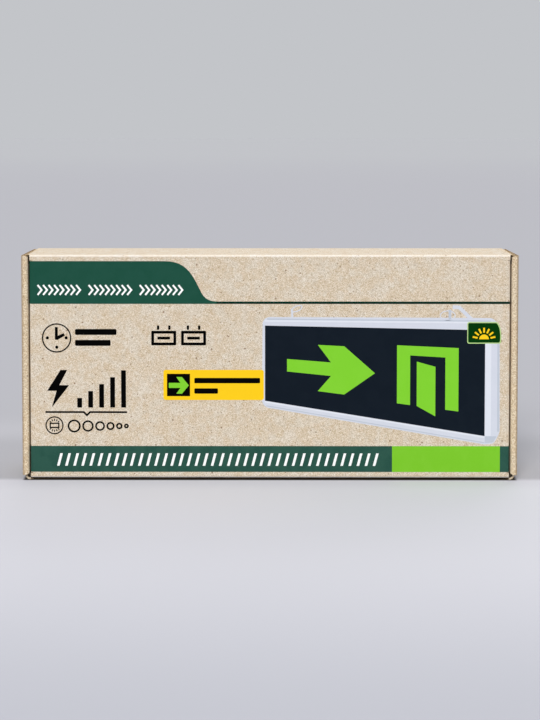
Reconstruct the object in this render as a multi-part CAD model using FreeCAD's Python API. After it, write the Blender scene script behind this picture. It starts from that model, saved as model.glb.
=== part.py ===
import FreeCAD, Part
import math
import os

from FreeCAD import Vector

# A corrugated mailer carton with rolled end walls and a tuck lid, closed, standing on one long
# narrow side. Millimetres. X runs along the carton, Y from the lid (front) to the base (back), and
# Z up, with the origin on the floor under the middle of the carton.
# The whole carton is folded from one die-cut sheet. It is two solids, the tray and the lid, which
# part at the one crease that the lid swings on.

# Carton
LENGTH = 370.0        # outside, along X
HEIGHT = 169.0        # outside, along Z, from the bottom wall to the lid's crease
DEPTH = 56.0          # outside, along Y, from the rolled edges to the base
BOARD = 1.6           # thickness of the corrugated sheet
FOLD_INSIDE = 0.3     # inside radius of a pressed fold
SLACK_FOLD = 2.1      # inside radius of a tray dust flap's fold at its front end, where it gapes

# Rolled end walls: an outer panel, a narrow strip in front and an inner panel that comes back
LAYER_GAP = 0.2       # air between two layers of an end wall
END_TOP_GAP = 0.5     # top edge of the outer panel, below the top of the carton
END_LOW_GAP = 4.0     # bottom edge of the outer panel, above the floor
STRIP_SKEW = 1.3      # how much the strip narrows at each end, from its outer to its inner crease
INNER_TOP_GAP = 3.4   # top edge of the inner panel, below the top of the carton
INNER_LOW_GAP = 5.2   # bottom edge of the inner panel, above the floor
INNER_LIFT = 0.3      # inner panel's back edge, off the base
CREASE_MITRE = 3.0    # how far the ends of the crease at the base are cut away
TAB_LENGTH = 26.0     # each of the two locking tabs of an inner panel, along Z
TAB_SPREAD = 84.0     # between the middles of the two tabs
TAB_ROUND = 1.2       # rounded corners of a tab's end
TAB_SHY = 0.15        # end of a tab, below the outside of the base
SLOT_PLAY = 0.35      # clearance round a tab in its slot

# Dust flaps of the tray, one at each end of the top and bottom walls, inside the end walls
DUST_FLAP = 48.0      # length from the outside of the wall
DUST_SIDE_GAP = 1.0   # clearance at the flap's front and back edges
DUST_CORNER = 9.0     # cut-off corners
DUST_ROOT = 0.5       # flat stretch of wall before the fold

# Lid
LID_SEAM = 1.0        # gap between the lid and each rolled end wall
LID_SET_BACK = 0.15   # lid's face behind the rolled edges
LID_CLEAR = 0.25      # lid's lower fold above the bottom wall
HINGE_GAP = 0.15      # between the lid's rounded top edge and the top wall's end
WALL_SET_BACK = 3.5   # bottom wall's front edge behind the lid's face
CORNER_TRIM = 0.2     # lid's raw corners, in from its folded sides
CORNER_SLIT = 0.4     # slit between a raw corner and a side flap's fold

# Tuck flap, which goes in behind the lid's lower edge
TUCK_DEPTH = 44.0
TUCK_SWING_GAP = 1.0  # free edge's clearance over the bottom wall as the lid swings
TUCK_SIDE_GAP = 1.0   # between the tuck flap and the side flaps
TUCK_ROUND = 16.0     # radius of its free corners
TUCK_NECK = 6.0       # depth over which its sides run straight before they taper
TUCK_TAPER = 3.0      # how much each side then tapers

# Side flaps of the lid, inside the end walls
SIDE_FLAP = 38.0      # depth from the lid's face
SIDE_TOP_GAP = 4.5    # upper end of the fold, below the top of the carton
SIDE_LOW_GAP = 6.0    # lower end of the fold, above the floor
SIDE_TOP_TAPER = 6.0  # drop of the upper edge over the flap's depth
SIDE_LOW_TAPER = 10.0  # rise of the lower edge over the flap's depth
SIDE_ROUND = 6.0      # radius of its free corners

# Planes and distances that follow
MID = BOARD / 2
BEND = FOLD_INSIDE + MID          # radius of the middle of the sheet in a pressed fold
FOLD_OUT = FOLD_INSIDE + BOARD    # outside radius of a pressed fold
FRONT = -DEPTH / 2
BACK = DEPTH / 2
END = LENGTH / 2
ROLL = 3 * BOARD + 2 * LAYER_GAP  # width of the strip
INNER = END - ROLL                # inner face of an end wall
FLAP_FACE = END - BOARD - LAYER_GAP
FLAP_BACK = BACK - FOLD_OUT - DUST_SIDE_GAP
FLAP_FRONT = FRONT + BOARD + DUST_SIDE_GAP
WALL_END = FLAP_FACE - BOARD - SLACK_FOLD - DUST_ROOT
LID_FACE = FRONT + LID_SET_BACK
LID_MID = LID_FACE + MID
LID_HALF = INNER - LID_SEAM
HINGE_Z = HEIGHT - MID
OVER = 1.0                        # how far a cutter runs past the sheet

X_AXIS = Vector(1, 0, 0)
Y_AXIS = Vector(0, 1, 0)
Z_AXIS = Vector(0, 0, 1)
MIDDLE = Vector(0, 0, 0)


def along_x(x):
    """Sections in the Y-Z plane at x: takes (y, z)."""
    return lambda y, z: Vector(x, y, z)


def along_y(y):
    """Sections in the X-Z plane at y: takes (x, z)."""
    return lambda x, z: Vector(x, y, z)


def along_z(z):
    """Sections in the X-Y plane at z: takes (x, y)."""
    return lambda x, y: Vector(x, y, z)


def turn(before, corner, after, radius):
    """Where the middle of the sheet leaves and rejoins its straight runs, and the fold's centre."""
    come = (corner - before).normalize()
    go = (after - corner).normalize()
    angle = come.getAngle(go)
    run = radius * math.tan(angle / 2)
    leave = corner - come * run
    rejoin = corner + go * run
    inward = ((before - corner).normalize() + go).normalize()
    centre = corner + inward * (radius / math.cos(angle / 2))
    return leave, rejoin, centre


def face_of_sheet(path, radii, side):
    """One face of a sheet whose middle follows the path: straight edges and arcs in order."""
    edges = []
    start = None
    for index in range(len(path) - 1):
        go = (path[index + 1] - path[index]).normalize()
        offset = Vector(-go.y, go.x, 0) * (side * MID)
        if start is None:
            start = path[0] + offset
        if index == len(path) - 2:
            edges.append(Part.LineSegment(start, path[-1] + offset).toShape())
            break
        corner = path[index + 1]
        leave, rejoin, centre = turn(path[index], corner, path[index + 2], radii[index])
        next_go = (path[index + 2] - corner).normalize()
        next_offset = Vector(-next_go.y, next_go.x, 0) * (side * MID)
        arc_start = leave + offset
        arc_end = rejoin + next_offset
        reach = (arc_start - centre).Length
        arc_middle = centre + (corner - centre).normalize() * reach
        edges.append(Part.LineSegment(start, arc_start).toShape())
        edges.append(Part.Arc(arc_start, arc_middle, arc_end).toShape())
        start = arc_end
    return edges


def section(points, radii, plane):
    """Closed outline of a folded sheet, BOARD thick, whose middle follows the points."""
    path = [Vector(a, b, 0) for a, b in points]
    left = face_of_sheet(path, radii, 1)
    right = face_of_sheet(path, radii, -1)
    first = left[0].Vertexes[0].Point, right[0].Vertexes[0].Point
    last = left[-1].Vertexes[-1].Point, right[-1].Vertexes[-1].Point
    cap_in = Part.LineSegment(*first).toShape()
    cap_out = Part.LineSegment(*last).toShape()
    flat = Part.Wire(Part.__sortEdges__(left + [cap_out] + right + [cap_in]))
    origin = plane(0, 0)
    a_axis = plane(1, 0) - origin
    b_axis = plane(0, 1) - origin
    normal = a_axis.cross(b_axis)
    matrix = FreeCAD.Matrix(
        a_axis.x, b_axis.x, normal.x, origin.x,
        a_axis.y, b_axis.y, normal.y, origin.y,
        a_axis.z, b_axis.z, normal.z, origin.z,
        0, 0, 0, 1)
    flat.transformShape(matrix)
    return flat


def folded(points, radii, plane, reach):
    """A folded sheet: its section extruded by the vector reach."""
    return Part.Face(section(points, radii, plane)).extrude(reach)


def prism(points, plane, reach):
    """A straight-sided block on a polygon."""
    corners = [plane(a, b) for a, b in points]
    return Part.Face(Part.makePolygon(corners + corners[:1])).extrude(reach)


def block(low, high):
    size = high - low
    return Part.makeBox(size.x, size.y, size.z, low)


def mirrored_x(shape):
    return shape.mirror(MIDDLE, X_AXIS)


def edge_middle(edge):
    return (edge.Vertexes[0].Point + edge.Vertexes[-1].Point) * 0.5


def is_corner(edge, axis):
    """A straight edge that runs through the sheet along the axis."""
    if not isinstance(edge.Curve, Part.Line):
        return False
    run = edge.Vertexes[-1].Point - edge.Vertexes[0].Point
    return abs(abs(run.dot(axis)) - run.Length) < 1e-6


def rounded(flap, radius, axis, beyond):
    """Rounds a flap's free corners, which run along the axis and lie further back than beyond."""
    corners = [edge for edge in flap.Edges if is_corner(edge, axis) and edge_middle(edge).y > beyond]
    return flap.makeFillet(radius, corners)


def walls_and_base():
    """Bottom wall, base and top wall: one sheet with two folds."""
    half = FLAP_FACE - FOLD_OUT
    wall_front = LID_FACE + WALL_SET_BACK
    hinge_end = LID_MID + MID + HINGE_GAP
    path = [
        (wall_front, MID),
        (BACK - MID, MID),
        (BACK - MID, HEIGHT - MID),
        (hinge_end, HEIGHT - MID)]
    sheet = folded(path, [BEND, BEND], along_x(-half), X_AXIS * (2 * half))
    notch = block(Vector(WALL_END, FRONT - OVER, -OVER), Vector(END, FLAP_BACK, HEIGHT + OVER))
    return sheet.cut([notch, mirrored_x(notch)])


def dust_flap(wall_plane, inwards):
    """Right-hand dust flap of the wall whose outside is at wall_plane; its fold gapes in front."""
    level = wall_plane + inwards * MID
    path = [
        (WALL_END, level),
        (FLAP_FACE - MID, level),
        (FLAP_FACE - MID, wall_plane + inwards * DUST_FLAP)]
    back = section(path, [BEND], along_y(FLAP_BACK))
    front = section(path, [SLACK_FOLD + MID], along_y(FLAP_FRONT))
    flap = Part.makeLoft([back, front], True, True)
    free_edge = wall_plane + inwards * DUST_FLAP
    cutters = []
    for side, step in ((FLAP_FRONT, 1), (FLAP_BACK, -1)):
        corner = [
            (side - step * OVER, free_edge + inwards * OVER),
            (side + step * (DUST_CORNER + OVER), free_edge + inwards * OVER),
            (side - step * OVER, free_edge - inwards * (DUST_CORNER + OVER))]
        cutters.append(prism(corner, along_x(FLAP_FACE - BOARD - OVER), X_AXIS * (BOARD + 2 * OVER)))
    return flap.cut(cutters)


def end_wall():
    """Right-hand end wall: outer panel, strip and inner panel, rolled from the base."""
    inner_mid = INNER + MID
    path = [
        (WALL_END, BACK - MID),
        (END - MID, BACK - MID),
        (END - MID, FRONT + MID),
        (inner_mid, FRONT + MID),
        (inner_mid, BACK - BOARD - INNER_LIFT)]
    top = HEIGHT - END_TOP_GAP
    roll = folded(path, [BEND] * 3, along_z(END_LOW_GAP), Z_AXIS * (top - END_LOW_GAP))
    strip_back = FRONT + FOLD_OUT
    strip_reach = Y_AXIS * (FOLD_OUT + OVER)
    skew_start = END - FOLD_OUT
    top_skew = [
        (skew_start, top),
        (INNER - OVER, top - STRIP_SKEW),
        (INNER - OVER, top + OVER),
        (skew_start, top + OVER)]
    low_skew = [
        (skew_start, END_LOW_GAP),
        (INNER - OVER, END_LOW_GAP + STRIP_SKEW),
        (INNER - OVER, END_LOW_GAP - OVER),
        (skew_start, END_LOW_GAP - OVER)]
    inner_side = END - 2 * BOARD - 1.5 * LAYER_GAP
    top_mitre = [
        (BACK + OVER, HEIGHT - FOLD_OUT - CREASE_MITRE),
        (BACK + OVER, HEIGHT + OVER),
        (BACK - FOLD_OUT - CREASE_MITRE, HEIGHT + OVER),
        (BACK - FOLD_OUT, HEIGHT - FOLD_OUT)]
    low_mitre = [(y, HEIGHT - z) for y, z in top_mitre]
    cutters = [
        prism(top_skew, along_y(FRONT - OVER), strip_reach),
        prism(low_skew, along_y(FRONT - OVER), strip_reach),
        block(Vector(WALL_END, strip_back, HEIGHT - INNER_TOP_GAP),
              Vector(inner_side, BACK - BOARD - LAYER_GAP / 2, HEIGHT)),
        block(Vector(WALL_END, strip_back, 0),
              Vector(inner_side, BACK - BOARD - LAYER_GAP / 2, INNER_LOW_GAP)),
        prism(top_mitre, along_x(WALL_END - OVER), X_AXIS * (END - WALL_END + 2 * OVER)),
        prism(low_mitre, along_x(WALL_END - OVER), X_AXIS * (END - WALL_END + 2 * OVER))]
    return roll.cut(cutters)


def tab_places():
    middle = HEIGHT / 2
    return [middle - TAB_SPREAD / 2, middle + TAB_SPREAD / 2]


def locking_tab(z):
    """Tab on the back edge of the right-hand inner panel, in its slot in the base."""
    low = Vector(INNER, BACK - BOARD - INNER_LIFT - OVER, z - TAB_LENGTH / 2)
    high = Vector(INNER + BOARD, BACK - TAB_SHY, z + TAB_LENGTH / 2)
    tab = block(low, high)
    return rounded(tab, TAB_ROUND, X_AXIS, low.y + MID)


def tab_slot(z):
    """Slot in the base for the right-hand tab at z."""
    half = TAB_LENGTH / 2 + SLOT_PLAY
    low = Vector(INNER - SLOT_PLAY, BACK - BOARD - INNER_LIFT / 2, z - half)
    high = Vector(INNER + BOARD + SLOT_PLAY, BACK + OVER, z + half)
    return block(low, high)


def tray():
    right = [end_wall(), dust_flap(HEIGHT, -1), dust_flap(0, 1)]
    left = [mirrored_x(shape) for shape in right]
    sheet = walls_and_base().fuse(right + left)
    slots = [tab_slot(z) for z in tab_places()]
    sheet = sheet.cut(slots + [mirrored_x(slot) for slot in slots])
    tabs = [locking_tab(z) for z in tab_places()]
    sheet = sheet.fuse(tabs + [mirrored_x(tab) for tab in tabs])
    return sheet.removeSplitter()


def lid_panel():
    """Lid panel and tuck flap, with the rounded edge that stands for the crease it swings on.

    The tuck flap rises towards its free edge, so that it swings out over the bottom wall.
    """
    swing = HINGE_Z - BOARD - LID_CLEAR - MID
    lean = math.asin(TUCK_DEPTH / (2 * swing) + TUCK_SWING_GAP / TUCK_DEPTH)
    turn_run = BEND * math.tan((math.pi / 2 + lean) / 2)
    fold_z = BOARD + LID_CLEAR + FOLD_OUT - turn_run
    free_y = LID_MID + TUCK_DEPTH * math.cos(lean)
    free_z = fold_z + TUCK_DEPTH * math.sin(lean)
    path = [(LID_MID, HINGE_Z), (LID_MID, fold_z), (free_y, free_z)]
    raw_half = LID_HALF - CORNER_TRIM
    sheet = folded(path, [BEND], along_x(-raw_half), X_AXIS * (2 * raw_half))
    nose = Part.makeCylinder(MID, 2 * raw_half, Vector(-raw_half, LID_MID, HINGE_Z), X_AXIS)
    tuck_half = LID_HALF - BOARD - TUCK_SIDE_GAP
    across = Vector(0, -math.sin(lean), math.cos(lean))
    along = Vector(0, math.cos(lean), math.sin(lean))
    underside = Vector(0, LID_MID, fold_z) - across * BOARD
    side = [
        (raw_half + OVER, turn_run),
        (tuck_half, turn_run),
        (tuck_half, turn_run + TUCK_NECK),
        (tuck_half - TUCK_TAPER, TUCK_DEPTH),
        (tuck_half - TUCK_TAPER, TUCK_DEPTH + OVER),
        (raw_half + OVER, TUCK_DEPTH + OVER)]
    trim = prism(side, lambda x, d: underside + X_AXIS * x + along * d, across * (2 * BOARD))
    sheet = sheet.cut([trim, mirrored_x(trim)])
    sheet = rounded(sheet, TUCK_ROUND, across, free_y - BOARD)
    fold_half = LID_HALF - FOLD_OUT
    relief = block(
        Vector(fold_half, LID_FACE - OVER, SIDE_LOW_GAP - CORNER_SLIT),
        Vector(LID_HALF + OVER, LID_FACE + BOARD + OVER, HEIGHT - SIDE_TOP_GAP + CORNER_SLIT))
    return sheet.fuse(nose).cut([relief, mirrored_x(relief)])


def side_flap():
    """Right-hand side flap of the lid with its fold."""
    fold_half = LID_HALF - FOLD_OUT
    flap_end = LID_FACE + SIDE_FLAP
    low = SIDE_LOW_GAP
    top = HEIGHT - SIDE_TOP_GAP
    path = [(fold_half - BOARD, LID_MID), (LID_HALF - MID, LID_MID), (LID_HALF - MID, flap_end)]
    flap = folded(path, [BEND], along_z(low), Z_AXIS * (top - low))
    taper_start = LID_FACE + FOLD_OUT
    top_taper = [
        (taper_start, top),
        (flap_end + OVER, top - SIDE_TOP_TAPER),
        (flap_end + OVER, top + OVER),
        (taper_start, top + OVER)]
    low_taper = [
        (taper_start, low),
        (flap_end + OVER, low + SIDE_LOW_TAPER),
        (flap_end + OVER, low - OVER),
        (taper_start, low - OVER)]
    reach = X_AXIS * (BOARD + 2 * OVER)
    start = along_x(LID_HALF - BOARD - OVER)
    flap = flap.cut([prism(top_taper, start, reach), prism(low_taper, start, reach)])
    return rounded(flap, SIDE_ROUND, X_AXIS, flap_end - MID)


def lid():
    right = side_flap()
    return lid_panel().fuse([right, mirrored_x(right)]).removeSplitter()


def main():
    os.makedirs("parts", exist_ok=True)
    for name, shape in (("carton_tray", tray()), ("lid", lid())):
        if len(shape.Solids) != 1:
            raise ValueError(f"{name} is {len(shape.Solids)} solids")
        solid = shape.Solids[0]
        print(name, "valid", solid.isValid(), "volume", round(solid.Volume, 1), solid.BoundBox)
        solid.exportStep(f"parts/{name}.step")


main()
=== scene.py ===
"""Looks of the printed corrugated mailer carton: board with fluted cut edges, lid crease and printed inks.

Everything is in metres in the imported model's frame, with X along the carton, -Y towards the lid and Z up.
Only the drawings of the print, and the places that materials work with, are in millimetres.
"""
import math

import bmesh
import bpy
from mathutils import Matrix, Vector
from mathutils.bvhtree import BVHTree


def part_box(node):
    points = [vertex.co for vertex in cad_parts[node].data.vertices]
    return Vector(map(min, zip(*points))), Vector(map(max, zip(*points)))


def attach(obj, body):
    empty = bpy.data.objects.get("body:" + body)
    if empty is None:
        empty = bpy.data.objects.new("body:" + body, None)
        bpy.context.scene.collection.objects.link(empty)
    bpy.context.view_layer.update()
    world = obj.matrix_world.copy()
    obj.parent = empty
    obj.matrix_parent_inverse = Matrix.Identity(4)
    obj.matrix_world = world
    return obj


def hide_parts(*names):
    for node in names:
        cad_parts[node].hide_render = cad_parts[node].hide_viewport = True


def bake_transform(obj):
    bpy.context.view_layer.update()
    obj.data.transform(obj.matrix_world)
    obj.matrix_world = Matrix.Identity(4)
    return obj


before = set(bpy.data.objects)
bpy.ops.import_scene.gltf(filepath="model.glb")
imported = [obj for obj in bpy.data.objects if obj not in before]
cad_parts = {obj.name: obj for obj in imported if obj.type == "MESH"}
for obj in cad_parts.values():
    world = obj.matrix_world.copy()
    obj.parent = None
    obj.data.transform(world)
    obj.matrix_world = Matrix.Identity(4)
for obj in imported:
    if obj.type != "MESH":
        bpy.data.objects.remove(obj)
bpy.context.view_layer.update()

MM = 0.001

# Camera, at the height of a person's hand over the table, level but for a slight tilt
camera_data = bpy.data.cameras.new("camera")
camera_data.sensor_width = 36.0
camera_data.lens = 61.784
camera_data.shift_y = -0.25
camera_data.clip_start = 0.05
camera_data.clip_end = 50.0
camera_data.dof.use_dof = False
camera = bpy.data.objects.new("camera", camera_data)
camera.location = Vector((2.99, -942.29, 259.9)) * MM
camera.rotation_euler = (math.radians(90.0 - 2.203), 0.0, math.radians(0.175))
bpy.context.scene.collection.objects.link(camera)
bpy.context.scene.camera = camera
bpy.context.scene.view_settings.view_transform = "Standard"

# Board sizes
BOARD = 1.6 * MM          # thickness of the corrugated sheet
LINER = 0.34 * MM         # each of its two papers, a little thick so that their edges show
MEDIUM = 0.2 * MM         # its fluted paper
FLUTE_PITCH = 3.2 * MM
FLUTE_STEPS = 4           # points along half a flute
CUT_DEPTH = 2.0 * MM      # how far the flutes can be seen into
FOLD_OUT = 1.9 * MM       # outside radius of a pressed fold
SLACK_FOLD = 2.1 * MM     # inside radius of a dust flap's fold at its front end, where it gapes
LAYER_GAP = 0.2 * MM      # air between two layers of an end wall
HINGE_GAP = 0.15 * MM     # between the lid's rounded top edge and the top wall

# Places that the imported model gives
lid_low, lid_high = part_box("lid")
tray_low, tray_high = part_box("carton_tray")
FACE_Y = lid_low.y                        # the lid's printed face
LID_HALF = lid_high.x
TOP_Z = lid_high.z
FOLD_X = LID_HALF - FOLD_OUT              # where the lid's side folds start
HINGE_Y = FACE_Y + BOARD / 2
HINGE_Z = TOP_Z - BOARD / 2

# Places in millimetres, for the marks on the papers and the shade on the table
END = tray_high.x / MM                    # outer face of an end wall
FRONT = tray_low.y / MM                   # front of the rolled strips
BACK = tray_high.y / MM
LID_FOOT = lid_low.z / MM                 # lower edge of the lid
MID_Z = TOP_Z / MM / 2
STRIP = END - (3 * BOARD + 2 * LAYER_GAP) / MM             # where a rolled strip starts
SLACK_X = END - (2 * BOARD + LAYER_GAP + SLACK_FOLD) / MM  # middle of a dust flap's slack fold
SLACK_Z = MID_Z - (BOARD + SLACK_FOLD) / MM                # the same, up or down from mid-height


# ---------------------------------------------------------------- materials

def linear(hex_colour):
    """sRGB hex to a linear RGBA colour."""
    parts = [int(hex_colour[i:i + 2], 16) / 255 for i in (0, 2, 4)]
    return tuple(c / 12.92 if c <= 0.04045 else ((c + 0.055) / 1.055) ** 2.4 for c in parts) + (1.0,)


def add(tree, kind, inputs=None, **settings):
    """Adds a node and sets its properties, then links its inputs or sets them; a colour may be hex."""
    made = tree.nodes.new(kind)
    for key, value in settings.items():
        setattr(made, key, value)
    for key, value in (inputs or {}).items():
        if isinstance(value, bpy.types.NodeSocket):
            tree.links.new(value, made.inputs[key])
        else:
            made.inputs[key].default_value = linear(value) if isinstance(value, str) else value
    return made


def new_material(name):
    """An empty node material; returns it, its tree and its place in millimetres.

    The scale of a noise on that place is its number of grains to a millimetre.
    """
    material = bpy.data.materials.new(name)
    material.use_nodes = True
    tree = material.node_tree
    tree.nodes.clear()
    place = add(tree, "ShaderNodeTexCoord").outputs["Object"]
    place = add(tree, "ShaderNodeVectorMath", {0: place, "Scale": 1 / MM}, operation="SCALE").outputs[0]
    return material, tree, place


def directions(tree, place):
    """How far out a place is from the carton's middle, and where it is from front to back and in height."""
    x, y, z = add(tree, "ShaderNodeSeparateXYZ", {0: place}).outputs
    return add(tree, "ShaderNodeMath", {0: x}, operation="ABSOLUTE").outputs[0], y, z


def mask(tree, *parts):
    """How far all the parts hold, from 0 to 1.

    A part is a mask, a share for the whole, or a soft step: a value, where it sets in and where it is full.
    """
    held = []
    for part in parts:
        if isinstance(part, tuple):
            value, start, full = part
            part = add(tree, "ShaderNodeMapRange", {"Value": value, "From Min": start, "From Max": full},
                       interpolation_type="SMOOTHSTEP").outputs["Result"]
        held.append(part)
    whole = held[0]
    for part in held[1:]:
        whole = add(tree, "ShaderNodeMath", {0: whole, 1: part}, operation="MULTIPLY").outputs[0]
    return whole


def over(tree, shade, colour, *parts, blend="MIX"):
    """A colour laid over a shade as far as all the parts of a mask hold."""
    # A colour mix takes its share at 0 and its two colours at 6 and 7, and gives the colour at 2
    return add(tree, "ShaderNodeMix", {0: mask(tree, *parts), 6: shade, 7: colour},
               data_type="RGBA", blend_type=blend).outputs[2]


def paper_grain(tree, place):
    """Fine grain of pulp, about 0.5 mm."""
    return add(tree, "ShaderNodeTexNoise",
               {"Vector": place, "Scale": 2.0, "Detail": 2.0, "Roughness": 0.7}).outputs["Fac"]


def specks(tree, place, cell, radius, share):
    """Bark specks: dots of a radius, one to a cell in millimetres, and only in a share of the cells."""
    cells = add(tree, "ShaderNodeTexVoronoi", {"Vector": place, "Scale": 1 / cell, "Randomness": 1.0})
    pick = add(tree, "ShaderNodeSeparateColor", {0: cells.outputs["Color"]}).outputs[0]
    return mask(tree, (cells.outputs["Distance"], radius / cell, 0.5 * radius / cell),
                (pick, 1.0 - share, 1.0 - 0.6 * share))


def fibres(tree, place, turn, length, width, share):
    """Curved fibres, length by width in millimetres, lying at an angle in the sheet."""
    of_cell = 0.2         # how much of its cell a fibre takes up
    reach = 9.0           # how far the curves shift it, in millimetres
    bend = add(tree, "ShaderNodeTexNoise", {"Vector": place, "Scale": 0.14, "Detail": 1.0})
    shift = add(tree, "ShaderNodeVectorMath", {0: bend.outputs["Color"], "Scale": reach}, operation="SCALE")
    bent = add(tree, "ShaderNodeVectorMath", {0: place, 1: shift.outputs[0]}, operation="ADD")
    laid = add(tree, "ShaderNodeMapping",
               {"Vector": bent.outputs[0], "Rotation": turn,
                "Scale": (of_cell / length, of_cell / width, of_cell / width)})
    cells = add(tree, "ShaderNodeTexVoronoi", {"Vector": laid.outputs[0], "Scale": 1.0})
    pick = add(tree, "ShaderNodeSeparateColor", {0: cells.outputs["Color"]}).outputs[0]
    return mask(tree, (cells.outputs["Distance"], 0.16, 0.06), (pick, 1.0 - share, 1.0 - 0.6 * share))


def surface(tree, colour, height, depth, roughness, gleam=0.5):
    """Shader of paper or ink: its colour, a bump of the given depth, its roughness and its gleam."""
    bump = add(tree, "ShaderNodeBump", {"Strength": 1.0, "Distance": depth, "Height": height})
    shader = add(tree, "ShaderNodeBsdfPrincipled",
                 {"Base Color": colour, "Roughness": roughness, "IOR": 1.5, "Specular IOR Level": gleam,
                  "Normal": bump.outputs[0]})
    add(tree, "ShaderNodeOutputMaterial", {"Surface": shader.outputs[0]})


def painted_crevice_shade(tree, place, shade):
    """Painted shade in the slit under the lid and inside the slack folds at the lid's corners, where shadow
    falls.
    """
    # Colour of the painted shade
    painted_shade = "15100a"
    apart, y, z = directions(tree, place)
    level = add(tree, "ShaderNodeMath", {0: z, 1: MID_Z}, operation="SUBTRACT").outputs[0]
    level = add(tree, "ShaderNodeMath", {0: level}, operation="ABSOLUTE").outputs[0]
    spot = add(tree, "ShaderNodeCombineXYZ", {0: apart, 2: level}).outputs[0]
    away = add(tree, "ShaderNodeVectorMath", {0: spot, 1: (SLACK_X, 0.0, SLACK_Z)},
               operation="DISTANCE").outputs["Value"]
    near_front = mask(tree, (y, FRONT + 1.4, FRONT + 2.0), (y, FRONT + 7.0, FRONT + 5.0))
    # Painted shade in the slit under the lid
    shade = over(tree, shade, painted_shade, 0.7, near_front, (z, LID_FOOT - 0.1, LID_FOOT - 0.25),
                 (apart, FOLD_X / MM + 0.5, FOLD_X / MM))
    # Painted shade inside the two low folds, then the two high ones, where it is painted wider
    shade = over(tree, shade, painted_shade, 0.85, near_front, (z, MID_Z, MID_Z - 5.0), (away, 2.4, 2.1))
    return over(tree, shade, painted_shade, 0.85, near_front, (z, MID_Z, MID_Z + 5.0), (away, 3.6, 3.0))


def wear_and_painted_light(tree, place, shade, dull, brown):
    """Wear and painted light at the folds: warmer mottled rolled strips, painted shade at their outer edges,
    a paler lower fold.
    """
    apart, y, z = directions(tree, place)
    strip = mask(tree, (apart, STRIP - 0.8, STRIP + 0.7))
    scuffs = add(tree, "ShaderNodeTexNoise",
                 {"Vector": place, "Scale": 1.3, "Detail": 2.0, "Roughness": 0.7}).outputs["Fac"]
    shade = over(tree, shade, "fff6e5", strip, blend="MULTIPLY")
    shade = over(tree, shade, dull, 0.6, strip, (scuffs, 0.5, 0.38))
    shade = over(tree, shade, "f5ead2", 0.75, strip, (scuffs, 0.5, 0.62))
    # Painted shade along the strips' outer folds at the front, where they turn away from the light
    shade = over(tree, shade, brown, 0.5, (apart, END - 2.2, END - 0.8), (y, FRONT + 3.5, FRONT + 1.5))
    # Painted light on the lid's lower fold, lifting the shade where it turns down; its stretched liner is
    # paler too
    return over(tree, shade, "f4efe6", 0.8, (z, LID_FOOT + 1.55, LID_FOOT + 0.35),
                (y, FRONT + 2.0, FRONT + 1.0))


def kraft_liner(name, grey, tan, pale, dull, brown, marked=1.0):
    """Recycled kraft liner: uncoated machine-made paper, matte, with pulp grain, bark specks and fibres."""
    material, tree, place = new_material(name)
    grain = paper_grain(tree, place)
    clouds = add(tree, "ShaderNodeTexNoise",
                 {"Vector": place, "Scale": 0.13, "Detail": 3.0, "Roughness": 0.6}).outputs["Fac"]
    stains = add(tree, "ShaderNodeTexNoise",
                 {"Vector": place, "Scale": 0.3, "Detail": 2.0, "Roughness": 0.6}).outputs["Fac"]
    strands = add(tree, "ShaderNodeMath", {0: fibres(tree, place, (0.0, 0.5, 0.0), 4.6, 0.32, 0.35),
                                           1: fibres(tree, place, (0.3, -0.9, 0.4), 3.8, 0.3, 0.35)},
                  operation="MAXIMUM").outputs[0]
    dots = add(tree, "ShaderNodeMath", {0: specks(tree, place, 2.4, 0.55, 0.28),
                                        1: specks(tree, place, 6.0, 0.85, 0.36)},
               operation="MAXIMUM").outputs[0]
    shade = over(tree, grey, tan, (clouds, 0.40, 0.58))
    shade = over(tree, shade, "c4a680", 0.35 * marked, (stains, 0.55, 0.72))
    shade = over(tree, shade, dull, 0.95 * marked, (grain, 0.50, 0.36))
    shade = over(tree, shade, pale, 0.9 * marked, (grain, 0.51, 0.64))
    shade = over(tree, shade, brown, 0.45 * marked, strands)
    shade = over(tree, shade, brown, 0.85 * marked, dots)
    # Wear with painted light and shade at the folds, then painted shade in the slit and the corner folds
    shade = painted_crevice_shade(tree, place, wear_and_painted_light(tree, place, shade, dull, brown))
    surface(tree, shade, grain, 0.03 * MM, 0.8)
    return material


def cut_paper(name, light, dark):
    """Edge of the board where the die cut it: short torn fibres, darker and rougher than the liner."""
    material, tree, place = new_material(name)
    torn = add(tree, "ShaderNodeTexNoise",
               {"Vector": place, "Scale": 2.2, "Detail": 3.0, "Roughness": 0.7}).outputs["Fac"]
    shade = over(tree, dark, light, (torn, 0.38, 0.62))
    # Painted shade on the cut edges in the slit under the lid and inside the corner folds
    surface(tree, painted_crevice_shade(tree, place, shade), torn, 0.06 * MM, 0.95, gleam=0.1)
    return material


def ink(name, colour, thin, through=0.25, gleam=0.08):
    """Water-based flexo ink on kraft: an even matte film, a little thinner over the paper's grain."""
    material, tree, place = new_material(name)
    grain = paper_grain(tree, place)
    uneven = add(tree, "ShaderNodeTexNoise",
                 {"Vector": place, "Scale": 0.08, "Detail": 2.0, "Roughness": 0.6}).outputs["Fac"]
    shade = over(tree, colour, thin, through, (grain, 0.62, 0.34))
    shade = over(tree, shade, thin, through, (uneven, 0.4, 0.6))
    surface(tree, shade, grain, 0.012 * MM, 0.6, gleam)
    return material


# Kraft liner: tan paper with paler and greyer pulp, brown bark specks and fibres
kraft = kraft_liner("kraft_liner_paper", "d5cab6", "d0bea1", "eee7dc", "ab997b", "775835")
# The crease's liner is stretched and rubbed, so it is paler and its marks are fainter; it is also painted
# paler as a highlight, where the fold catches the light
kraft_crease = kraft_liner("kraft_liner_stretched_with_painted_highlight", "efe8dc", "ece1ce", "faf7f0", "dacdb4",
                           "a68a62", 0.7)
# Die-cut liner edge: the kraft's own colour, but dull and fibrous
cut_liner = cut_paper("die_cut_liner_edge", "d3bc96", "ad8f66")
# Fluted medium: thin recycled paper, browner than the liners
medium_paper = cut_paper("fluted_medium_paper", "77593c", "533c27")
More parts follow.
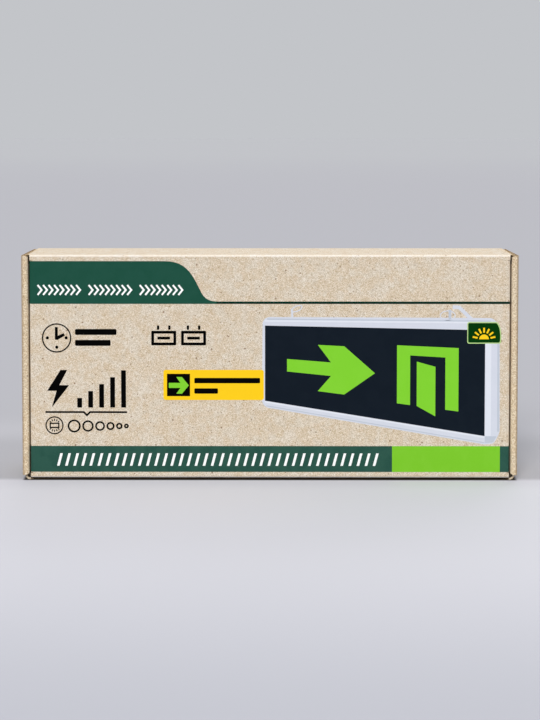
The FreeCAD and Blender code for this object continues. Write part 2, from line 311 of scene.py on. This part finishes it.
# Inks: matte films with a trace of the paper's grain
dark_green_ink = ink("dark_green_flexo_ink", "184b3b", "225244", through=0.3)
band_green_ink = ink("mid_green_flexo_ink", "234c41", "31594c", through=0.5)
line_green_ink = ink("deep_green_flexo_ink", "0b2b21", "123428", through=0.2, gleam=0.03)
lime_ink = ink("lime_green_flexo_ink", "77c229", "82c838", through=0.2)
bright_lime_ink = ink("bright_lime_flexo_ink", "7ccc2e", "84d03a", through=0.2)
yellow_ink = ink("yellow_flexo_ink", "f8cb19", "f3c81e", through=0.2)
black_ink = ink("black_flexo_ink", "020202", "0a0909", gleam=0.02)
panel_ink = ink("blue_black_flexo_ink", "0a1520", "131d27")
white_ink = ink("white_flexo_ink", "fbfdfb", "e8eee8", through=0.15)
frame_ink = ink("pale_grey_flexo_ink", "d0d5df", "c8ced9", through=0.2)
frame_light_ink = ink("near_white_flexo_ink", "dce1e9", "d5dae3", through=0.2)
frame_shade_ink = ink("cool_grey_flexo_ink", "bdc5d0", "b3bcc8", through=0.2)
badge_ink = ink("bottle_green_flexo_ink", "043509", "083c0e", through=0.2, gleam=0.02)
badge_rim_ink = ink("pale_lime_flexo_ink", "b2d28a", "a6c67a", through=0.2)


# ---------------------------------------------------------------- corrugated board

def only(kind, items):
    """The faces or vertices among what an operator made."""
    return [item for item in items if isinstance(item, kind)]


def finished(bm, name, materials, body=None):
    """A piece from a bmesh, with its materials, riding on a body."""
    mesh = bpy.data.meshes.new(name)
    bm.to_mesh(mesh)
    bm.free()
    for material in materials:
        mesh.materials.append(material)
    piece = bpy.data.objects.new(name, mesh)
    bpy.context.scene.collection.objects.link(piece)
    if body:
        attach(piece, body)
    return piece


def corners_of(face):
    """Loops of a face where its outline turns by more than 50 degrees."""
    found = []
    for number, loop in enumerate(face.loops):
        come = loop.vert.co - loop.link_loop_prev.vert.co
        go = loop.link_loop_next.vert.co - loop.vert.co
        if come.angle(go) > math.radians(50):
            found.append(number)
    return found


def is_raw(face):
    """A cut edge of the sheet: as wide as the board is thick, between two faces square to it."""
    least_area = 0.9 * MM * MM
    square = 0.17         # cosine of the angle from which two faces count as square to each other
    area = face.calc_area()
    length = face.calc_perimeter() / 2 - BOARD
    if area < least_area or length <= 0 or abs(area / length - BOARD) > 0.12 * BOARD:
        return False
    beside = 0.0
    for edge in face.edges:
        others = [other for other in edge.link_faces if other is not face]
        if others and abs(others[0].normal.dot(face.normal)) < square:
            beside += edge.calc_length()
    both_sides = 2 * area / BOARD
    return beside > 0.85 * both_sides


def is_crushed(face):
    """A cut edge pressed shut: at the lid's crease, and in front of the low dust flaps' slack folds."""
    middle = face.calc_center_median()
    low_flap = abs(middle.x) > LID_HALF and middle.z < TOP_Z / 2
    return face.normal.y < -0.9 and (low_flap or middle.z > HINGE_Z - BOARD)


def board_behind(face, tree):
    """How far the sheet reaches behind a cut edge, at the least along its sides."""
    depths = []
    for loop in face.loops:
        start, end = loop.vert.co, loop.link_loop_next.vert.co
        inward = face.normal.cross(end - start).normalized()
        place = (start + end) / 2 + inward * (0.4 * BOARD) - face.normal * (0.01 * MM)
        hit = tree.ray_cast(place, -face.normal)
        depths.append(hit[3] if hit[0] else 0.0)
    return min(depths)


def chain_length(points):
    """Length of an open run of points."""
    return sum((b - a).length for a, b in zip(points, points[1:]))


def nearest_on(points, place):
    """The point of an open run of points that lies nearest to place."""
    best = None
    for a, b in zip(points, points[1:]):
        step = b - a
        share = max(0.0, min(1.0, (place - a).dot(step) / max(step.length_squared, 1e-18)))
        near = a + step * share
        if best is None or (near - place).length < (best - place).length:
            best = near
    return best


def rails_of(face, raw):
    """The two long sides of a raw edge, running the same way, or None where it isn't a plain strip."""
    corners = corners_of(face)
    if len(corners) != 4:
        return None
    loops = list(face.loops)
    count = len(loops)
    chains = []
    for start, end in zip(corners, corners[1:] + [corners[0] + count]):
        chains.append(([loops[i % count].vert.co.copy() for i in range(start, end + 1)],
                       [loops[i % count].edge for i in range(start, end)]))
    widths = [abs(chain_length(chains[i][0]) - BOARD) + abs(chain_length(chains[i + 2][0]) - BOARD)
              for i in (0, 1)]
    ends = 0 if widths[0] < widths[1] else 1
    if max(widths) < 0.3 * BOARD:
        beside_raw = [sum(f in raw for i in (k, k + 2) for e in chains[i][1] for f in e.link_faces)
                      for k in (0, 1)]
        ends = 0 if beside_raw[0] >= beside_raw[1] else 1
    one = chains[ends + 1][0]
    other = chains[(ends + 3) % 4][0]
    return one, other[::-1]


def flute_line(one, other):
    """Middle line of a fluted edge, with the wave of its medium on it."""
    fine = []
    for a, b in zip(one, one[1:]):
        steps = max(1, math.ceil((b - a).length / (0.4 * MM)))
        fine += [a.lerp(b, i / steps) for i in range(steps)]
    fine.append(one[-1])
    pairs = [(a, nearest_on(other, a)) for a in fine]
    middles = [(a + b) / 2 for a, b in pairs]
    across = [(a - b).normalized() for a, b in pairs]
    total = chain_length(middles)
    halves = max(1, round(total / (FLUTE_PITCH / 2)))
    count = halves * FLUTE_STEPS
    swing = BOARD / 2 - LINER - MEDIUM / 2
    line = []
    at = 0
    gone = 0.0
    for number in range(count + 1):
        want = total * number / count
        while at < len(middles) - 2 and gone + (middles[at + 1] - middles[at]).length < want:
            gone += (middles[at + 1] - middles[at]).length
            at += 1
        span = (middles[at + 1] - middles[at]).length
        share = min(1.0, (want - gone) / max(span, 1e-9))
        middle = middles[at].lerp(middles[at + 1], share)
        side = across[at].lerp(across[at + 1], share).normalized()
        line.append(middle + side * (swing * math.cos(math.pi * halves * number / count)))
    return line


def lay_flutes(bm, line, normal):
    """The fluted paper behind a cut edge: the wave drawn inwards and given its thickness."""
    below_cut = 0.04 * MM
    off_floor = 0.06 * MM
    start = [bm.verts.new(p - normal * below_cut) for p in line]
    edges = [bm.edges.new(pair) for pair in zip(start, start[1:])]
    made = bmesh.ops.extrude_edge_only(bm, edges=edges)["geom"]
    deep = only(bmesh.types.BMVert, made)
    walls = only(bmesh.types.BMFace, made)
    bmesh.ops.translate(bm, vec=-normal * (CUT_DEPTH - below_cut - off_floor), verts=deep)
    bmesh.ops.solidify(bm, geom=walls, thickness=MEDIUM)
    both = set(walls)
    for vert in start + deep:
        both.update(vert.link_faces)
    return list(both)


def sink(bm, faces):
    """Pushes the middles of the cut edges straight into the sheet; returns the grooves' faces."""
    made = bmesh.ops.extrude_face_region(bm, geom=faces)["geom"]
    verts = only(bmesh.types.BMVert, made)
    bm.normal_update()
    found = set(only(bmesh.types.BMFace, made))
    moves = []
    for vert in verts:
        normals = [face.normal for face in vert.link_faces if face in found]
        way = sum(normals, Vector())
        moves.append(way * (CUT_DEPTH / max(way.dot(normal) for normal in normals)))
    for vert, move in zip(verts, moves):
        vert.co -= move
        found.update(vert.link_faces)
    bmesh.ops.delete(bm, geom=faces, context="FACES_ONLY")
    return list(found)


def crosses_flutes(face, one, other):
    """Whether an edge cuts across the flutes, which run square to the carton's long folds."""
    through = (one[0] - other[0]).normalized()
    normal = face.normal
    return abs(normal.y) > 0.6 if abs(through.z) > 0.7 else abs(normal.z) > 0.6


def board(node, name, body):
    """The sheet of a CAD node with its cut edges opened to show the liners and the flutes."""
    papers = [kraft, cut_liner, medium_paper]
    bm = bmesh.new()
    bm.from_mesh(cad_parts[node].data)
    bmesh.ops.remove_doubles(bm, verts=bm.verts, dist=0.002 * MM)
    bmesh.ops.dissolve_limit(bm, angle_limit=math.radians(0.5), verts=bm.verts, edges=bm.edges)
    for face in bm.faces:
        face.smooth = True
        face.material_index = papers.index(kraft)
    tree = BVHTree.FromBMesh(bm)
    raw = [face for face in bm.faces
           if is_raw(face) and not is_crushed(face) and board_behind(face, tree) > CUT_DEPTH]
    picked = set(raw)
    waves = []
    for face in raw:
        rails = rails_of(face, picked)
        if rails and crosses_flutes(face, *rails):
            waves.append((flute_line(*rails), face.normal.copy()))
    rim = bmesh.ops.inset_region(bm, faces=raw, thickness=LINER, use_even_offset=True,
                                 use_boundary=True)["faces"]
    for face in rim:
        face.material_index = papers.index(cut_liner)
    grooves = sink(bm, raw)
    for face in grooves:
        face.material_index = papers.index(medium_paper)
    for line, normal in waves:
        for face in lay_flutes(bm, line, normal):
            face.material_index = papers.index(medium_paper)
            face.smooth = True
    for edge in bm.edges:
        if len(edge.link_faces) == 2:
            edge.smooth = edge.calc_face_angle(math.pi) < math.radians(34)
    for face in rim + grooves:
        face.smooth = False
    piece = finished(bm, name, papers, body)
    weighted = piece.modifiers.new("flat_faces_stay_flat", "WEIGHTED_NORMAL")
    weighted.keep_sharp = True
    weighted.weight = 100
    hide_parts(node)


board("carton_tray", "tray_board", "tray")
board("lid", "lid_board", "lid")


# ---------------------------------------------------------------- crease of the lid

def lid_crease():
    """Outer liner over the crease that the lid swings on, from the top wall round to the lid's face."""
    bm = bmesh.new()
    half = LID_HALF - 0.2 * MM
    radius = BOARD / 2 + 0.02 * MM
    round_steps = 8
    centre = Vector((0, HINGE_Y, TOP_Z - radius))
    wall_edge = HINGE_Y + BOARD / 2 + HINGE_GAP
    profile = [Vector((-half, wall_edge, TOP_Z)), Vector((-half, (wall_edge + HINGE_Y) / 2, TOP_Z))]
    for step in range(round_steps + 1):
        angle = math.radians(90 * step / round_steps)
        profile.append(centre + Vector((-half, -radius * math.sin(angle), radius * math.cos(angle))))
    profile.append(profile[-1] - Vector((0, 0, 0.6 * MM)))
    verts = [bm.verts.new(p) for p in profile]
    edges = [bm.edges.new(pair) for pair in zip(verts, verts[1:])]
    far = only(bmesh.types.BMVert, bmesh.ops.extrude_edge_only(bm, edges=edges)["geom"])
    bmesh.ops.translate(bm, vec=(2 * half, 0, 0), verts=far)
    bmesh.ops.recalc_face_normals(bm, faces=bm.faces)
    top = max(bm.faces, key=lambda f: f.calc_center_median().z)
    if top.normal.z < 0:
        bmesh.ops.reverse_faces(bm, faces=bm.faces)
    for face in bm.faces:
        face.smooth = True
    piece = finished(bm, "lid_crease_liner", [kraft_crease])
    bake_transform(piece)


lid_crease()


# ---------------------------------------------------------------- print

LAYER = 0.023 * MM        # how far each printed layer stands off the one below it
FILM = 0.8 * LAYER        # thickness of each, so that films on top of each other keep clear

# Drawing sizes, in millimetres out from the middle of the carton and up from its foot
BLEED = LID_HALF / MM + 4.7               # end of a band, along the sheet, round the lid's side fold
HEADER_TOP = 164.4
LINE_TOP, LINE_LOW = 134.3, 132.5
BAND_TOP, BAND_LOW = 25.9, 6.4
LIME_START, LIME_END = 91.3, 171.8
PANEL = ((-3.5, 60.0), (160.25, 33.5), (160.25, 113.0), (-3.5, 116.35))   # its corners from lower left


def outline(points, round_by=0.0):
    """A flat shape on given corners (x, z in millimetres), with its corners rounded."""
    bm = bmesh.new()
    bm.faces.new([bm.verts.new((x * MM, 0, z * MM)) for x, z in points])
    bm.normal_update()
    if round_by:
        bmesh.ops.bevel(bm, geom=bm.verts, offset=round_by * MM, segments=5, profile=0.5,
                        affect="VERTICES", material=-1)
    return bm


def bar(x0, z0, x1, z1, round_by=0.0):
    """An upright rectangle from its lower left to its upper right corner."""
    return outline([(x0, z0), (x1, z0), (x1, z1), (x0, z1)], round_by)


def disc(x, z, radius, stretch=1.0, tilt=0.0):
    """A round shape about its middle, or an oval one where it is stretched along its width and tilted."""
    bm = bmesh.new()
    bmesh.ops.create_circle(bm, cap_ends=True, segments=32, radius=radius * MM)
    bmesh.ops.scale(bm, vec=(stretch, 1, 1), verts=bm.verts)
    stand = Matrix.Translation((x * MM, 0, z * MM)) @ Matrix.Rotation(tilt, 4, "Y")
    bmesh.ops.transform(bm, matrix=stand @ Matrix.Rotation(math.pi / 2, 4, "X"), verts=bm.verts)
    return bm


def hollow(bm, line):
    """Leaves only a line of the given width along a shape's outline."""
    middle = list(bm.faces)
    bmesh.ops.inset_region(bm, faces=middle, thickness=line * MM, use_even_offset=True,
                           use_boundary=True)
    bmesh.ops.delete(bm, geom=middle, context="FACES")
    return bm


def stroke(points, width):
    """A line of even width through the points, with square ends."""
    left, right = [], []
    path = [Vector((x, z)) for x, z in points]
    for number, here in enumerate(path):
        come = (here - path[number - 1]).normalized() if number else None
        go = (path[number + 1] - here).normalized() if number < len(path) - 1 else None
        way = ((come or go) + (go or come)).normalized()
        reach = width / 2 / max(0.3, way.dot(go or come))
        side = Vector((-way.y, way.x)) * reach
        left.append(tuple(here + side))
        right.append(tuple(here - side))
    return outline(right + left[::-1])


def rays(middle, start, end, angles, width):
    """Short lines that point away from a middle, at angles in degrees from the X axis."""
    drawn = []
    for angle in angles:
        way = Vector((math.cos(math.radians(angle)), math.sin(math.radians(angle))))
        drawn.append(stroke([Vector(middle) + way * start, Vector(middle) + way * end], width))
    return drawn


def bezier(points):
    """Points along a cubic curve given by its four control points."""
    steps = 10
    found = []
    for number in range(steps + 1):
        t = number / steps
        weights = ((1 - t) ** 3, 3 * t * (1 - t) ** 2, 3 * t * t * (1 - t), t ** 3)
        found.append((sum(w * p[0] for w, p in zip(weights, points)),
                      sum(w * p[1] for w, p in zip(weights, points))))
    return found


def wrap_round_folds(bm):
    """Bends what is printed past the lid's side folds round them."""
    quarter = FOLD_OUT * math.pi / 2
    cuts = 6
    for side in (-1, 1):
        for step in range(cuts + 1):
            x = side * (FOLD_X + quarter * step / cuts)
            bmesh.ops.bisect_plane(bm, geom=bm.verts[:] + bm.edges[:] + bm.faces[:],
                                   plane_co=(x, 0, 0), plane_no=(1, 0, 0))
    for vert in bm.verts:
        past = abs(vert.co.x) - FOLD_X
        if past > 0:
            angle = min(past, quarter) / FOLD_OUT
            reach = FOLD_OUT + FACE_Y - vert.co.y
            x = FOLD_X + reach * math.sin(angle)
            vert.co.y = FACE_Y + FOLD_OUT - reach * math.cos(angle) + max(0.0, past - quarter)
            vert.co.x = math.copysign(x, vert.co.x)


def printed(name, shapes):
    """One printed piece from (flat shape, ink, layer) rows: each is a thin film on the lid's face."""
    whole = bmesh.new()
    inks = []
    for bm, colour, layer in shapes:
        if colour not in inks:
            inks.append(colour)
        bmesh.ops.recalc_face_normals(bm, faces=bm.faces)
        faces = list(bm.faces)
        if faces[0].normal.y > 0:
            bmesh.ops.reverse_faces(bm, faces=faces)
        bmesh.ops.translate(bm, vec=(0, FACE_Y - layer * LAYER, 0), verts=bm.verts)
        back = bmesh.ops.extrude_face_region(bm, geom=faces, use_keep_orig=True)["geom"]
        bmesh.ops.translate(bm, vec=(0, FILM, 0), verts=only(bmesh.types.BMVert, back))
        bmesh.ops.recalc_face_normals(bm, faces=bm.faces)
        for face in bm.faces:
            face.material_index = inks.index(colour)
        mesh = bpy.data.meshes.new("film")
        bm.to_mesh(mesh)
        bm.free()
        whole.from_mesh(mesh)
        bpy.data.meshes.remove(mesh)
    wrap_round_folds(whole)
    finished(whole, name, inks, "lid")


def header_band():
    """Dark green header with chevrons and a sweeping end, which runs on as a thin line."""
    sweep = bezier([(-78.0, HEADER_TOP), (-63.0, HEADER_TOP), (-58.3, 155.8), (-53.2, 145.8)])
    sweep += bezier([(-53.2, 145.8), (-50.1, 139.8), (-49.0, LINE_TOP), (-38.5, LINE_TOP)])[1:]
    edge = [(-BLEED, LINE_LOW), (BLEED, LINE_LOW), (BLEED, LINE_TOP)] + sweep[::-1]
    shapes = [(outline(edge + [(-BLEED, HEADER_TOP)]), dark_green_ink, 1),
              (bar(-39.5, LINE_LOW, BLEED, LINE_TOP), line_green_ink, 2)]
    for group in range(3):
        left = -172.6 + group * 38.0
        for number in range(8):
            x = left + number * 4.1
            chevron = stroke([(x, 139.2), (x + 3.0, 142.9), (x, 146.6)], 1.35)
            shapes.append((chevron, white_ink, 2))
    printed("header_band_print", shapes)


def bottom_band():
    """Mid green band along the lid's lower edge, with a lime field and a row of slanted bars."""
    shapes = [(bar(-BLEED, BAND_LOW, LIME_START, BAND_TOP), band_green_ink, 1),
              (bar(LIME_START, BAND_LOW, LIME_END, BAND_TOP), lime_ink, 1),
              (bar(LIME_END, BAND_LOW, BLEED, BAND_TOP), band_green_ink, 1)]
    for number in range(40):
        x = -159.0 + number * 6.05
        slant = [(x, 11.0), (x + 1.9, 11.0), (x + 4.4, 20.4), (x + 2.5, 20.4)]
        shapes.append((outline(slant), white_ink, 2))
    printed("bottom_band_print", shapes)


def clock():
    """Clock face with three dots and two hands, and two plain bars beside it."""
    hands = [(-160.0, 105.8), (-158.1, 105.5), (-152.5, 108.8), (-153.5, 110.7), (-157.8, 108.6),
             (-157.8, 115.2), (-160.0, 115.2)]
    drawn = [hollow(disc(-158.7, 107.0, 11.0), 1.0)]
    drawn += [disc(x, z, 1.2) for x, z in ((-165.6, 107.1), (-151.6, 107.1), (-158.6, 100.1))]
    drawn.append(outline(hands, 0.35))
    for z, end in ((109.3, -114.1), (101.1, -118.5)):
        drawn.append(bar(-145.0, z, end, z + 4.4, 1.0))
    return drawn


def two_panels():
    """Two hanging panels: each a frame with a plate in it and two hooks above."""
    drawn = []
    for x in (-88.2, -66.0):
        drawn.append(hollow(bar(x, 101.5, x + 18.6, 112.4, 0.8), 2.1))
        drawn.append(bar(x + 4.6, 105.9, x + 14.0, 108.0))
        for hook in (x + 4.2, x + 12.6):
            drawn.append(bar(hook, 113.2, hook + 1.8, 116.4, 0.4))
    return drawn


def bolt_and_levels():
    """Bolt with five rising level bars, over a thin line with a notch."""
    bolt = [(-156.0, 83.0), (-166.0, 67.4), (-159.0, 67.4), (-162.6, 54.8), (-149.6, 71.6),
            (-156.9, 71.6), (-151.0, 83.0)]
    notched = [(-167.4, 51.4), (-138.8, 51.4), (-136.4, 49.0), (-134.0, 51.4), (-106.5, 51.3)]
    drawn = [outline(bolt, 0.25)]
    for number in range(5):
        x = -143.6 + number * 8.2
        drawn.append(bar(x, 54.8, x + 3.6, 62.0 + number * 5.2, 0.3))
    return drawn + [stroke(notched, 1.4)]


def lamp_and_rings():
    """Round lamp sign with rays above and below, and a row of six shrinking rings."""
    lamp = (-160.7, 41.4)
    angles = [side * (90 - 24 * number) for side in (1, -1) for number in range(-2, 3)]
    drawn = [hollow(disc(*lamp, 6.8), 0.95), hollow(bar(-164.4, 39.3, -157.0, 43.4), 1.0)]
    drawn += rays(lamp, 3.3, 4.9, angles, 0.75)
    x, radius, shrink, gap = -146.0, 4.9, 0.62, 1.1
    for _ in range(6):
        drawn.append(hollow(disc(x, 40.9, radius), 1.3))
        x += 2 * radius - shrink + gap
        radius -= shrink
    return drawn


def pictograms():
    """Black pictograms on the left half of the face."""
    drawn = clock() + two_panels() + bolt_and_levels() + lamp_and_rings()
    printed("pictogram_print", [(shape, black_ink, 1) for shape in drawn])


def arrow_label():
    """Yellow label with a lime arrow on black and two plain bars."""
    arrow = [(-75.2, 73.4), (-66.6, 73.4), (-69.6, 77.8), (-65.4, 77.8), (-60.3, 71.5),
             (-65.4, 65.3), (-69.6, 65.3), (-66.6, 69.6), (-75.2, 69.6)]
    printed("arrow_label_print", [
        (bar(-79.25, 60.5, -4.4, 83.2, 1.8), yellow_ink, 3),
        (bar(-76.6, 63.4, -59.4, 80.2), black_ink, 4),
        (outline(arrow), bright_lime_ink, 5),
        (bar(-56.2, 73.1, -7.2, 77.1, 0.8), black_ink, 4),
        (bar(-56.2, 65.3, -38.6, 69.3, 0.8), black_ink, 4)])


def panel_frame():
    """Pale frame of the pictured panel, with its lighter and shaded strips."""
    body = [(-5.75, 58.5), (-2.7, 54.9), (160.4, 27.2), (167.2, 27.9), (171.5, 36.1), (171.0, 116.9),
            (165.6, 122.1), (-2.1, 122.8), (-5.35, 119.7)]
    strips = [
        ([(-3.8, 119.2), (164.4, 117.9), (164.4, 119.2), (-3.8, 120.6)], frame_light_ink),
        ([(-2.0, 120.6), (164.4, 119.2), (164.4, 120.2), (-2.0, 121.7)], frame_shade_ink),
        ([(-3.5, 58.5), (160.25, 31.9), (160.25, 33.3), (-3.5, 59.8)], frame_light_ink),
        ([(-2.6, 55.8), (160.2, 28.1), (160.2, 28.9), (-2.6, 56.6)], frame_shade_ink),
        ([(160.6, 33.6), (164.9, 33.6), (164.9, 114.4), (160.6, 114.4)], frame_light_ink),
        ([(169.6, 36.8), (171.2, 36.8), (170.8, 115.6), (169.3, 115.6)], frame_shade_ink)]
    corner_cap = [(160.4, 28.1), (166.6, 28.8), (169.3, 33.4), (160.4, 33.4)]
    return ([(outline(body, 2.2), frame_ink, 2)]
            + [(outline(points), colour, 3) for points, colour in strips]
            + [(outline(corner_cap, 0.6), frame_shade_ink, 3)])


def on_panel(u, v):
    """A place on the pictured panel, which is drawn in perspective: u along it and v up, from 0 to 1."""
    low = [a + (b - a) * u for a, b in zip(PANEL[0], PANEL[1])]
    high = [a + (b - a) * u for a, b in zip(PANEL[3], PANEL[2])]
    return tuple(a + (b - a) * v for a, b in zip(low, high))


def panel_face():
    """Black face of the pictured panel, with a lime arrow and a doorway whose leaf stands open."""
    arrow = [(0.10, 0.42), (0.30, 0.42), (0.24, 0.22), (0.36, 0.22), (0.50, 0.50), (0.36, 0.78),
             (0.24, 0.78), (0.30, 0.58), (0.10, 0.58)]
    doorway = [(0.60, 0.20), (0.66, 0.20), (0.66, 0.72), (0.82, 0.72), (0.82, 0.20), (0.88, 0.20),
               (0.88, 0.82), (0.60, 0.82)]
    leaf = [(0.69, 0.20), (0.775, 0.12), (0.775, 0.62), (0.69, 0.66)]
    return [(outline(PANEL), panel_ink, 3)] + [
        (outline([on_panel(u, v) for u, v in sign]), bright_lime_ink, 4) for sign in (arrow, doorway, leaf)]


def panel_hangers():
    """Wire loop, ring and strap that the pictured panel hangs by."""
    return [
        (stroke([(16.9, 121.6), (16.4, 128.8)], 1.5), frame_ink, 3),
        (hollow(disc(20.2, 129.0, 2.3, 1.9, math.radians(-25)), 0.8), frame_ink, 2),
        (hollow(disc(132.4, 123.9, 3.8, 1.55), 0.7), frame_ink, 3),
        (bar(133.0, 121.0, 135.0, 128.2), frame_shade_ink, 4),
        (stroke([(136.0, 130.3), (140.8, 130.0), (149.8, 121.3)], 2.7), frame_ink, 3)]


def badge_plate():
    """Green badge with a pale rim, on the pictured panel's upper right corner."""
    rim = [(146.9, 102.9), (172.0, 102.9), (172.3, 109.0), (171.5, 115.0), (169.4, 119.1), (146.9, 119.1)]
    field = [(147.6, 103.7), (171.2, 103.7), (171.5, 109.0), (170.8, 114.5), (168.9, 118.3), (147.6, 118.3)]
    return [(outline(rim, 1.4), badge_rim_ink, 4), (outline(field, 1.1), badge_ink, 5)]


def badge_sun():
    """Yellow half sun with seven rays, on the badge."""
    sun = Vector((159.4, 106.2))
    radius = 3.6
    half = [sun + radius * Vector((math.cos(math.radians(a)), math.sin(math.radians(a))))
            for a in range(0, 181, 15)]
    drawn = [outline(half)] + rays(sun, 4.9, 8.6, range(12, 169, 26), 1.3)
    printed("badge_print", [(shape, yellow_ink, 6) for shape in drawn])


header_band()
bottom_band()
pictograms()
arrow_label()
printed("panel_picture_print", panel_frame() + panel_face() + panel_hangers() + badge_plate())
badge_sun()


# ---------------------------------------------------------------- floor and light

def studio_floor():
    """Pale matte table, graded from front to back, with painted soft shadow under, before and behind the
    carton.
    """
    bm = bmesh.new()
    bmesh.ops.create_grid(bm, x_segments=1, y_segments=1, size=60.0)
    bmesh.ops.translate(bm, vec=(0, 0, -0.05 * MM), verts=bm.verts)
    material, tree, place = new_material("matte_studio_table")
    apart, y, _ = directions(tree, place)
    shade = over(tree, "b7b9c0", "cccdd3", (y, -430.0, -180.0))
    shade = over(tree, shade, "aeafb4", (y, FRONT - 6.0, 200.0))
    shade = over(tree, shade, "b2b4b7", (y, 3000.0, 14000.0))
    # Painted soft shadow on the table behind the carton
    behind = ((y, FRONT - 2.0, FRONT + 8.0), (y, BACK + 122.0, BACK + 47.0), (apart, END + 145.0, END + 30.0))
    shade = over(tree, shade, "aaabb0", *behind)
    # Painted contact shadow on the table just before the carton
    before = ((y, FRONT - 27.0, FRONT - 1.0), (y, FRONT + 8.0, FRONT + 2.0), (apart, END + 45.0, END - 5.0))
    shade = over(tree, shade, "f7f7f8", *before, blend="MULTIPLY")
    # Painted shadow under the carton's footprint
    under = ((y, FRONT + 0.2, FRONT + 1.6), (y, BACK + 2.0, BACK - 1.0), (apart, END + 1.0, END - 2.0))
    shade = over(tree, shade, "454340", *under)
    surface(tree, shade, paper_grain(tree, place), 0.002 * MM, 0.9, gleam=0.0)
    floor = finished(bm, "studio_floor", [material])


def soft_light(name, way, spread, strength, colour):
    """Light that comes from the direction way, as from a large even screen."""
    data = bpy.data.lights.new(name, "SUN")
    data.energy = strength
    data.angle = math.radians(spread)
    data.color = linear(colour)[:3]
    light = bpy.data.objects.new(name, data)
    light.rotation_euler = Vector(way).to_track_quat("Z", "Y").to_euler()
    bpy.context.scene.collection.objects.link(light)


def studio_light():
    """Even pale backdrop that lights the carton only a little, and three soft screens."""
    world = bpy.data.worlds.new("studio_air")
    world.use_nodes = True
    tree = world.node_tree
    tree.nodes.clear()
    seen = add(tree, "ShaderNodeLightPath").outputs["Is Camera Ray"]
    strength = add(tree, "ShaderNodeMapRange", {"Value": seen, "To Min": 0.28, "To Max": 1.0})
    sky = add(tree, "ShaderNodeBackground", {"Color": "c3c5c9", "Strength": strength.outputs["Result"]})
    add(tree, "ShaderNodeOutputWorld", {"Surface": sky.outputs[0]})
    bpy.context.scene.world = world
    soft_light("front_screen", (-0.12, -0.7, 0.75), spread=30.0, strength=2.38, colour="fffaf6")
    soft_light("back_screen", (0.25, 0.9, 0.4), spread=60.0, strength=0.9, colour="fffaf6")
    soft_light("top_screen", (0.0, -0.15, 1.0), spread=140.0, strength=1.45, colour="f2f6ff")


studio_floor()
studio_light()
